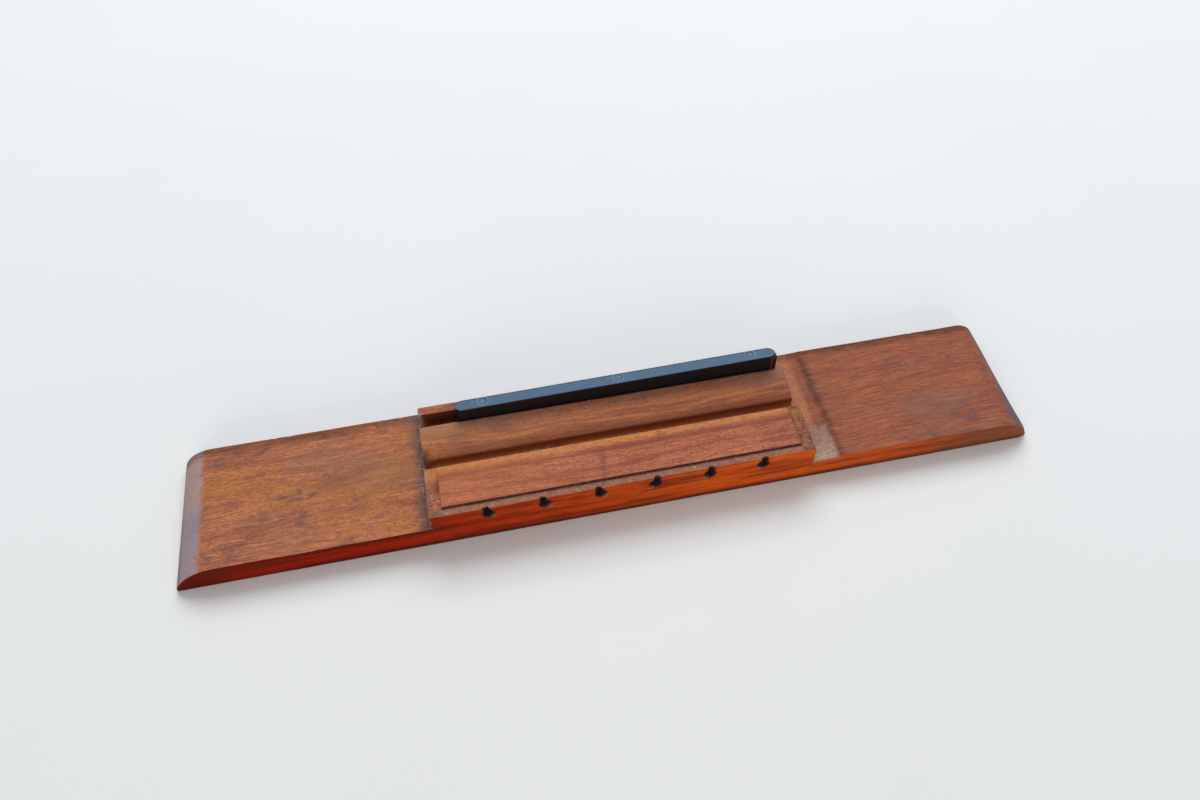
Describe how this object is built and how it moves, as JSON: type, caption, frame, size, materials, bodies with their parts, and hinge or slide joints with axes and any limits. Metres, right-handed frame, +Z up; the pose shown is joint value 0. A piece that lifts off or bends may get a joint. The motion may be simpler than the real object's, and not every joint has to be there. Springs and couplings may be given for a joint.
{
  "type": "classical guitar tie bridge",
  "caption": "Worn wooden tie bridge for a classical guitar: flat wings, raised tie block with string holes and glued top plate, ramped ridge, and a loose black saddle standing in an open slot.",
  "frame": {"origin": "centre of the flat glue face on the underside, at the middle of the bridge's length and width", "axes": "+X along the bridge, towards the wing with the scoop; +Y from the string-hole face towards the saddle; +Z up, out of the soundboard"},
  "size_m": [0.185, 0.0296, 0.0147],
  "materials": {
    "stained_wood": "old brown stain, worn and dusty on top, glossy red-brown on the string-hole face",
    "plate_wood": "worn satin, reddish brown",
    "black_plastic": "smooth moulded black, slightly scuffed"
  },
  "bodies": {
    "bridge": {"bridge_body": "stained_wood", "tie_block_plate": "plate_wood"},
    "saddle": {"saddle": "black_plastic"}
  },
  "joints": [
    {"name": "saddle_lift", "type": "slide", "parent": "bridge", "child": "saddle", "axis": [0, 0, 1], "range_m": [0, 0.012]}
  ]
}
